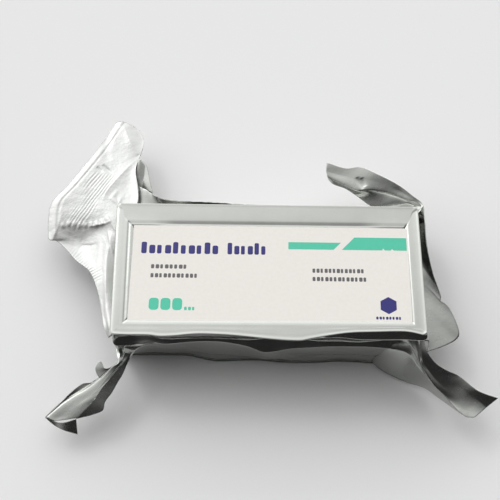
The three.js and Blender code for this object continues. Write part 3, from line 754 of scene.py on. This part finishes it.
def back_right_ear():
    """The ear at the back right corner, curled over to the left."""
    web = place(
        "back_right", (-ROOT, -ROOT, 8), (-2.6, 3.1, 8.4), (-6.1, 3.4, 8.4), (-9.3, 4.6, 8.3),
        (-12.7, 7.3, 8.5), (-15.3, 9.1, 8.8), (-18.3, 10.7, 8.3), (-19.2, 11.7, 8.3),
    )
    lip = place(
        "back_right", (-ROOT, -ROOT, 11.8), (2, 2.8, 11.6), (-1.2, 4.9, 10.9), (-3.2, 6, 10.6),
        (-5.9, 7.2, 10.2), (-8.6, 7.9, 10), (-12.2, 8, 9.8), (-14.8, 9.3, 9.6), (-19.6, 12, 9.3),
    )
    crown = place(
        "back_right", (-ROOT, -ROOT, 11.9), (1.9, 3, 11.7), (-0.1, 5, 11.4), (-2.3, 7, 11.2),
        (-5, 8.4, 11), (-8.4, 10.2, 10.7), (-14.3, 11.6, 10.05), (-19.9, 13.6, 9.6),
    )
    upper = place(
        "back_right", (-ROOT, -ROOT, 12), (2.3, 3.1, 11.8), (-0.1, 5.8, 11.8), (-3.4, 8.7, 11.8),
        (-8.2, 11.9, 11.3), (-11.9, 13.9, 10.8), (-15.2, 13.8, 10.4), (-19.7, 15.5, 10.1),
    )
    guides = [web, lip, crown, upper]
    return foil_sheet("back_right_ear", guides, along=150, across=30, softness=0.6, lift=back_right_lift)


# The back right ear's crumples and the line of its lip, from the box's corner.
BACK_RIGHT_FOLDS = [
    (ROLL, 0.5, 0.2, [(-12.6, 11.4), (-12.1, 10.1), (-11.3, 8.4)]),
    (ROLL, 0.5, 0.18, [(-11.6, 11.2), (-10.7, 9)]),
]
BACK_RIGHT_LIP = [(2, 2.8), (-1.2, 4.9), (-3.2, 6), (-5.9, 7.2), (-8.6, 7.9), (-12.2, 8)]


def back_right_lift(grid):
    """The ear is a little uneven and crumpled, with a fine crease along its lip."""
    corner = np.array(ANCHORS["back_right"][:2])
    lift = 0.08 * noise(grid, (7, 3, 7), 31) + folds(grid, BACK_RIGHT_FOLDS, corner)
    return lift + fold(grid, CREASE, 0.22, 0.14, BACK_RIGHT_LIP + corner, taper=0.2)


def front_right_ear():
    """The ear at the front right corner: a face that drops from its seam, a ridge and a trough."""
    lower = place(
        "front_right", (-11, ROOT, 2), (-9.5, -1.6, 1.9), (-7.7, -3, 1.5), (-5.1, -4.4, 1.4),
        (-2.5, -5.6, 1.5), (1.3, -7.1, 2.2), (4.1, -9.7, 3.2), (8, -13.6, 5.2),
    )
    seam = place(
        "front_right", (-9.5, ROOT, 10.2), (-8.4, -0.5, 10.6), (-7.1, -0.8, 10.8), (-5.6, -1.1, 10.9),
        (-4.1, -1.6, 10.9), (-3, -2.4, 10.7), (-1.7, -4.4, 10.5), (0.3, -6.8, 10.1), (1.9, -8.5, 9.3),
        (3.6, -10, 8.6), (5.3, -11.8, 8.1), (7.4, -14.3, 7.8),
    )
    bend = place(
        "front_right", (-9.5, ROOT, 11), (-7, 1.3, 11.4), (-4.6, 1, 11.9), (-3.1, -0.6, 12.1),
        (-2.2, -2.2, 11.8), (-1.2, -4.5, 11), (0.4, -6.7, 10.3), (2, -8.5, 9.4), (3.7, -10, 8.6),
        (5.3, -11.7, 8.05), (7.8, -14.6, 7.8),
    )
    ridge = place(
        "front_right", (-2.3, ROOT, 14.4), (-2.1, 0.4, 14), (-1.9, -0.8, 13.5), (-1.1, -4.7, 12.2),
        (0.2, -6.5, 10.9), (2.4, -9, 9.2), (3.8, -10.1, 8.5), (5.3, -11.5, 8), (8.7, -15.2, 7.8),
    )
    trough = place(
        "front_right", (-ROOT, ROOT, 13.4), (-0.7, -2.6, 12.4), (-0.2, -4.6, 11.3), (1.2, -6.2, 10.4),
        (2.7, -7.7, 9.5), (4.7, -9.3, 8.7), (6.9, -11.2, 8.1), (8.7, -13.3, 7.8), (10.5, -15.3, 7.75),
    )
    slope = place(
        "front_right", (-1.1, ROOT, 13.2), (-0.1, -2.4, 12.5), (2.1, -5.1, 10.9), (4.7, -6.6, 9.8),
        (7.1, -8.4, 8.8), (9.7, -10.2, 8.3), (11.9, -11.6, 7.7), (13.5, -12.9, 7.2),
    )
    upper = place(
        "front_right", (-0.6, ROOT, 13), (0.5, -2.1, 12.5), (2.4, -4.3, 11.3), (4.8, -5.6, 10.5),
        (7.5, -6.4, 9.3), (11.4, -9.5, 8.8), (13.4, -10.4, 8.65), (15.9, -11.2, 8.6),
    )
    guides = [lower, seam, bend, ridge, trough, slope, upper]
    return foil_sheet("front_right_ear", guides, along=150, across=18, softness=0.5)


def front_left_ear():
    """The ear at the front left corner: a trough that runs out from a narrow neck."""
    behind = place(
        "front_left", (4, 5, 9), (1.3, 0.5, 9), (0.4, -0.9, 9), (0.6, -1.8, 9), (0.8, -2.7, 9.1),
        (0.8, -3.6, 9), (-0.6, -4.7, 8.6), (-3.1, -6.9, 7.7), (-5.1, -7.8, 7.2), (-6.8, -8, 7.05),
        (-9.4, -10.2, 6.9), (-11.9, -13.1, 6.7), (-14.3, -15.4, 6.4),
    )
    step = place(
        "front_left", (4.3, 5, 9), (1.5, 0.5, 9), (0.6, -0.9, 9.05), (0.8, -1.8, 9.1), (0.9, -2.8, 9.2),
        (0.9, -3.9, 9), (-0.5, -4.9, 8.6), (-2.8, -6.4, 7.7), (-5.9, -8.7, 6.9), (-8.9, -10.5, 6.6),
        (-11.3, -12.1, 6.4), (-14.2, -15.1, 6.2),
    )
    rim = place(
        "front_left", (4.8, 5, 9.1), (1.9, 0.5, 9.1), (1.1, -0.9, 9.1), (1.3, -1.8, 9.2),
        (1.3, -2.8, 9.3), (1.2, -3.9, 9.2), (-0.1, -4.7, 8.9), (-2.4, -7, 8.2), (-5.5, -9.3, 7.4),
        (-8.5, -11, 6.95), (-10.8, -12.7, 6.75), (-13.9, -15.5, 6.5),
    )
    trough = place(
        "front_left", (5.5, 5, 9.1), (2.5, 0.5, 9.1), (1.8, -0.8, 9.1), (2.2, -1.6, 9.2),
        (2.1, -2.8, 9.25), (1.7, -3.9, 9.05), (0.6, -5.1, 8.75), (-1.2, -7, 8.35), (-3.7, -10, 7.6),
        (-6.1, -11.7, 7.1), (-10.8, -15.2, 6.5), (-12.3, -16.2, 6.45),
    )
    lip = place(
        "front_left", (7, 4, 10.6), (4, 0.6, 11), (2.6, -0.8, 11.2), (2.6, -1.3, 10.6),
        (2.5, -1.8, 9.8), (2.2, -2.7, 9.1), (1.7, -3.8, 8.8), (1.1, -4.9, 8.65), (0.3, -6, 8.5),
        (-1.1, -7.7, 8.2), (-1.9, -8.7, 8), (-3.3, -10.9, 7.5), (-4.8, -12.75, 7), (-7.5, -15.6, 6.4),
    )
    ridge = place(
        "front_left", (10, 1.2, 11.8), (9.1, -0.3, 12.2), (6.9, -0.7, 11.9), (4.9, -1.4, 10.7),
        (3.5, -2.4, 9.5), (2.4, -3.6, 8.85), (1.6, -4.5, 8.65), (0.6, -5.6, 8.5), (-0.6, -7.1, 8.3),
        (-2.1, -8.9, 7.95), (-3.5, -11.1, 7.45), (-4.9, -12.95, 6.95), (-7.6, -15.7, 6.35),
    )
    lower = place(
        "front_left", (11, 1.5, 11.5), (7, 0, 10.8), (4.8, -1.5, 10.2), (3.8, -2.5, 9.2),
        (3, -3.9, 8.5), (2.1, -6.1, 8), (1, -8, 7.6), (-0.1, -10.1, 7.3), (-1.5, -12.1, 6.95),
        (-1.9, -13.8, 6.55), (-4, -14.7, 6.2), (-7.4, -15.6, 6.25),
    )
    guides = [behind, step, rim, trough, lip, ridge, lower]
    return foil_sheet("front_left_ear", guides, along=190, across=18, softness=0.5)


def front_left_tip():
    """The front left ear's tip, folded down."""
    crease = place("front_left", (-14.2, -15.4, 6.5), (-10.9, -16.6, 6.4), (-7.6, -15.7, 6.35))
    edge = place(
        "front_left", (-14.3, -15.5, 6.4), (-12.6, -16.8, 5.8), (-10.5, -17.8, 4.9), (-7.4, -18.6, 4.3),
    )
    grid = loft([crease, edge], along=40, across=20)
    return thick_piece("front_left_tip", grid, FOIL / 2, flap_foil, "foil_pack")


def front_left_tab():
    """A small tab of foil behind the front left ear."""
    right = place(
        "front_left", (-0.5, -4.7, 8.7), (-1.3, -5, 8.75), (-2, -4.9, 8.8), (-2.3, -4.2, 8.9),
        (-2.8, -3.4, 9),
    )
    left = place(
        "front_left", (-2.9, -7.1, 8.3), (-3.6, -6.1, 8.45), (-3.9, -5, 8.65), (-3.2, -3.4, 8.9),
    )
    grid = loft([right, left], along=30, across=16)
    return thick_piece("front_left_tab", grid, FOIL / 2, flap_foil, "foil_pack")


# ---- Label ----

LABEL_TURN = math.radians(-0.5)
LABEL_FRONT = 0.55  # how far the paper lies up the rim's foot at the front


def label_frame():
    """The label's centre, half length and half depth, from the box round it as it lies turned."""
    centre = (label_low + label_high) / 2
    reach_x, reach_y = (label_high - label_low)[:2] / 2
    c, s = math.cos(LABEL_TURN), abs(math.sin(LABEL_TURN))
    half_length = (reach_x * c - reach_y * s) / (c * c - s * s)
    half_depth = (reach_y * c - reach_x * s) / (c * c - s * s)
    return centre, half_length, half_depth


def on_label(points):
    """Points given from the label's centre, along it and across it, in the pack's axes."""
    centre, _, _ = label_frame()
    c, s = math.cos(LABEL_TURN), math.sin(LABEL_TURN)
    turned = np.array(points, float)
    turned[..., 0] = centre[0] + points[..., 0] * c - points[..., 1] * s
    turned[..., 1] = centre[1] + points[..., 0] * s + points[..., 1] * c
    return turned


def label_sheet():
    """The paper, a plain sheet laid in the panel."""
    _, half_length, half_depth = label_frame()
    rows, columns = 160, 60
    grid = np.zeros((rows, columns, 3))
    grid[..., 0] = np.linspace(-half_length, half_length, rows)[:, None]
    grid[..., 1] = np.linspace(-half_depth - LABEL_FRONT, half_depth, columns)
    grid[..., 2] = (PANEL_HEIGHT + LABEL_TOP) / 2
    thickness = LABEL_TOP - PANEL_HEIGHT
    sheet = thick_piece("label_sheet", on_label(grid), thickness / 2, paper, "label")
    sheet.data.shade_flat()
    return sheet


# ---- Print on the label: plain bars, and rows of blocks where a label has its words ----

INK = 0.01  # how far the print stands over the paper
# Two nicks in the thick bar's foot, where its ink is rubbed off.
NICKS = [(0, 0), (0.2, 0.5), (0.6, 0), (1.9, 0), (2.2, 0.35), (2.6, 0)]
TITLE_HEIGHT = 2.1
TITLE_TALL = 1.35  # a tall block's height as a share of the others'
LINE_HEIGHT = 1


def block(left, bottom, width, height, radius):
    """A rounded rectangle, anticlockwise, as points along and across the label."""
    right = left + width - radius
    top = bottom + height - radius
    corners = [
        (right, bottom + radius, -0.5),
        (right, top, 0),
        (left + radius, top, 0.5),
        (left + radius, bottom + radius, 1),
    ]
    points = []
    for x, y, start in corners:
        for turn in np.linspace(start, start + 0.5, 4) * math.pi:
            points.append((x + radius * math.cos(turn), y + radius * math.sin(turn)))
    return points


def word(left, bottom, right, height, count, tall=1.0):
    """A row of blocks like the letters of a word, some of them taller."""
    pitch = (right - left) / count
    row = []
    for i in range(count):
        width = pitch * (0.68 + 0.12 * math.sin(2.4 * i))
        rise = height * (tall if i % 4 == 0 else 1)
        row.append(block(left + i * pitch, bottom, width, rise, min(width, height) * 0.3))
    return row


def hexagon(x, y, radius):
    """A hexagon with a corner at its top."""
    turns = np.arange(6) * math.pi / 3 + math.pi / 6
    return [(x + radius * math.cos(turn), y + radius * math.sin(turn)) for turn in turns]


def printed(name, shapes, ink):
    """Thin plates on the label, one for each outline."""
    points = []
    faces = []
    for shape in shapes:
        count = len(shape)
        start = len(points)
        for height in (LABEL_TOP - INK, LABEL_TOP + INK):
            flat = np.array([(x, y, height) for x, y in shape])
            points.extend(on_label(flat))
        faces.append(tuple(start + j for j in range(count))[::-1])
        faces.append(tuple(start + count + j for j in range(count)))
        for j in range(count):
            after = (j + 1) % count
            faces.append((start + j, start + after, start + count + after, start + count + j))
    plates = make_piece(name, points, faces, ink, "label")
    plates.data.shade_flat()
    return plates


def label_print():
    """The label's bars, and blocks in the places of its title, lines, number, mark and caption."""
    _, half_length, half_depth = label_frame()
    # Places are millimetres along from the print's left or right limit, and across from the label's
    # back, middle or front.
    left = -half_length
    right = half_length - 0.3
    # Two bars that a slanted gap parts.
    bars_foot = half_depth - 5.5
    thick_height = 3.1
    thin_height = 1.75
    slant = 0.93
    thin_right = half_length - 16.6
    thick_left = thin_right + 1.8
    thin_left = thin_right - 10.1
    thin = [
        (thin_left, bars_foot),
        (thin_right, bars_foot),
        (thin_right + slant * thin_height, bars_foot + thin_height),
        (thin_left, bars_foot + thin_height),
    ]
    nicks = [(right - 5.5 + across, bars_foot + up) for across, up in NICKS]
    thick = [
        (thick_left, bars_foot),
        *nicks,
        (right, bars_foot),
        (right, bars_foot + thick_height),
        (thick_left + slant * thick_height, bars_foot + thick_height),
    ]
    title_foot = bars_foot - 1.45
    title = word(left + 2, title_foot, left + 19.6, TITLE_HEIGHT, 10, TITLE_TALL)
    title += word(left + 21.2, title_foot, left + 30.2, TITLE_HEIGHT, 6, TITLE_TALL)
    number_foot = -half_depth + 1.9
    number = [block(left + 4.4 + 2.55 * i, number_foot, 2.15, 2.8, 0.7) for i in range(3)]
    number += word(left + 12.1, number_foot, left + 14.7, 0.8, 3)
    lines = word(left + 4.4, 0.55, left + 12.6, LINE_HEIGHT, 8)
    lines += word(left + 4.4, -1.6, left + 15, LINE_HEIGHT, 11)
    lines += word(right - 21.1, 0, right - 9.5, LINE_HEIGHT, 13)
    lines += word(right - 21.1, -2, right - 9, LINE_HEIGHT, 13)
    mark_x = right - 4.7
    mark = [hexagon(mark_x, -half_depth + 3.6, 2)]
    caption = word(mark_x - 2.8, -half_depth + 0.35, mark_x + 2.8, 0.65, 8)
    printed("print_green", [thin, thick] + number, green_ink)
    printed("print_indigo", title + mark + caption, indigo_ink)
    printed("print_grey", lines, grey_ink)


# ---- Studio ----

FLOOR_SIZE = 6  # metres
FLOOR_GREY = 0.82
WORLD_FILL = 0.04
# Soft light round the object, as (direction, how tightly it is gathered, strength).
WORLD_GLOWS = [((-0.3, 0.85, 0.42), 2, 2.6), ((0.5, 0.7, 0.5), 4, 0.6), ((-0.85, 0.1, 0.5), 8, 0.9)]
SUN_AXIS = (-0.45, 0.55, 0.7)
SUN_STRENGTH = 0.3
SUN_ANGLE = math.radians(14)


def math_node(nodes, links, operation, first, second):
    """Output of a Math node with two inputs, each a number or another node's output."""
    node = nodes.new("ShaderNodeMath")
    node.operation = operation
    for socket, value in zip(node.inputs, (first, second)):
        if isinstance(value, (int, float)):
            socket.default_value = value
        else:
            links.new(value, socket)
    return node.outputs["Value"]


def plain_floor():
    """A wide plain pale floor."""
    bpy.ops.mesh.primitive_plane_add(size=FLOOR_SIZE)
    floor = bpy.context.object
    floor.name = "floor"
    material = bpy.data.materials.new("floor")
    nodes, _ = nodes_of(material)
    shader = nodes["Principled BSDF"]
    shader.inputs["Base Color"].default_value = (FLOOR_GREY, FLOOR_GREY, FLOOR_GREY, 1)
    shader.inputs["Roughness"].default_value = 0.9
    floor.data.materials.append(material)


def surroundings():
    """A plain white world that is brighter towards each glow's direction."""
    world = bpy.data.worlds.new("studio")
    bpy.context.scene.world = world
    nodes, links = nodes_of(world)
    direction = nodes.new("ShaderNodeTexCoord").outputs["Generated"]
    total = WORLD_FILL
    for axis, power, strength in WORLD_GLOWS:
        dot = nodes.new("ShaderNodeVectorMath")
        dot.operation = "DOT_PRODUCT"
        dot.inputs[1].default_value = Vector(axis).normalized()
        links.new(direction, dot.inputs[0])
        glow = math_node(nodes, links, "MAXIMUM", dot.outputs["Value"], 0)
        glow = math_node(nodes, links, "POWER", glow, power)
        glow = math_node(nodes, links, "MULTIPLY", glow, strength)
        total = math_node(nodes, links, "ADD", glow, total)
    nodes["Background"].inputs["Color"].default_value = (1, 1, 1, 1)
    links.new(total, nodes["Background"].inputs["Strength"])


def lamp():
    """One soft lamp, from above, behind and left."""
    key = bpy.data.lights.new("key", "SUN")
    key.energy = SUN_STRENGTH
    key.angle = SUN_ANGLE
    holder = bpy.data.objects.new("key", key)
    holder.rotation_mode = "QUATERNION"
    holder.rotation_quaternion = Vector(SUN_AXIS).to_track_quat("Z", "Y")
    bpy.context.scene.collection.objects.link(holder)


CAMERA_ELEVATION = math.radians(65)
CAMERA_ROLL = math.radians(0.3)
CAMERA_TARGET = np.array([-4.1, 12.4, 0])
CAMERA_DISTANCE = 230.7  # from its target
SENSOR_WIDTH = 36
LENS = 68.544


def camera():
    """Looks down on the pack from the front."""
    data = bpy.data.cameras.new("camera")
    data.sensor_width = SENSOR_WIDTH
    data.lens = LENS
    data.clip_start = 0.01
    data.clip_end = 20
    holder = bpy.data.objects.new("camera", data)
    back = np.array([0, -math.cos(CAMERA_ELEVATION), math.sin(CAMERA_ELEVATION)])
    holder.location = (CAMERA_TARGET + back * CAMERA_DISTANCE) * MM
    tilt = Quaternion((1, 0, 0), math.pi / 2 - CAMERA_ELEVATION)
    holder.rotation_mode = "QUATERNION"
    holder.rotation_quaternion = tilt @ Quaternion((0, 0, 1), CAMERA_ROLL)
    bpy.context.scene.collection.objects.link(holder)
    bpy.context.scene.camera = holder
    bpy.context.scene.view_settings.view_transform = "Standard"


pouch_body()
left_flap()
right_flap()
back_fin()
back_left_fold()
back_right_ear()
front_right_ear()
front_left_ear()
front_left_tip()
front_left_tab()
label_sheet()
label_print()
plain_floor()
surroundings()
lamp()
camera()
